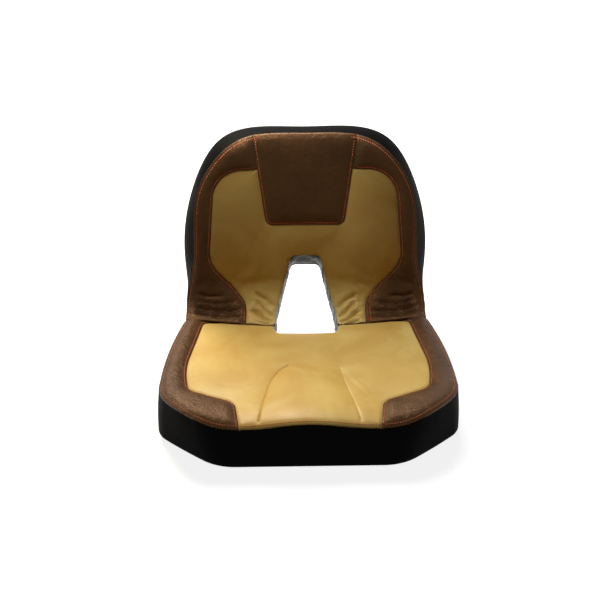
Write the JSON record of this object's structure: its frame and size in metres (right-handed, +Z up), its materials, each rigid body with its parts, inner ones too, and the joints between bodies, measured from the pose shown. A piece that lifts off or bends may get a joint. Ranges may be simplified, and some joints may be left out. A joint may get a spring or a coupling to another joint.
{
  "type": "ride-on mower seat",
  "caption": "Upholstered bucket seat for a ride-on mower, with gold centre panels, brown bolsters, black side bands, a moulded pan and an opening between seat and back.",
  "frame": {"origin": "centre of the four mounting bolts, on the plane that the pan's ribs and bosses rest on", "axes": "+Z up from the mounting plane, -Y the way the sitter faces, +X to the right as seen from the front"},
  "size_m": [0.5182, 0.5066, 0.4013],
  "materials": {
    "pan_plastic": "fine moulded grain",
    "insert_steel": "zinc plated",
    "cushion_foam": "moulded polyurethane foam",
    "gold_leather": "smooth satin leather cloth",
    "brown_leather": "pebbled leather cloth with a sheen",
    "black_vinyl": "black vinyl"
  },
  "bodies": {
    "root": {"seat_pan": "pan_plastic", "threaded_inserts": "insert_steel", "seat_foam": "cushion_foam", "back_foam": "cushion_foam", "seat_centre_panel": "gold_leather", "seat_bolster_left": "brown_leather", "seat_bolster_right": "brown_leather", "back_centre_panel": "gold_leather", "back_bolster_left": "brown_leather", "back_bolster_right": "brown_leather", "headrest_panel": "brown_leather", "seat_boxing": "black_vinyl", "back_boxing": "black_vinyl", "opening_liner": "black_vinyl", "seat_hem_staples": "insert_steel", "back_hem_staples": "insert_steel"}
  },
  "joints": []
}
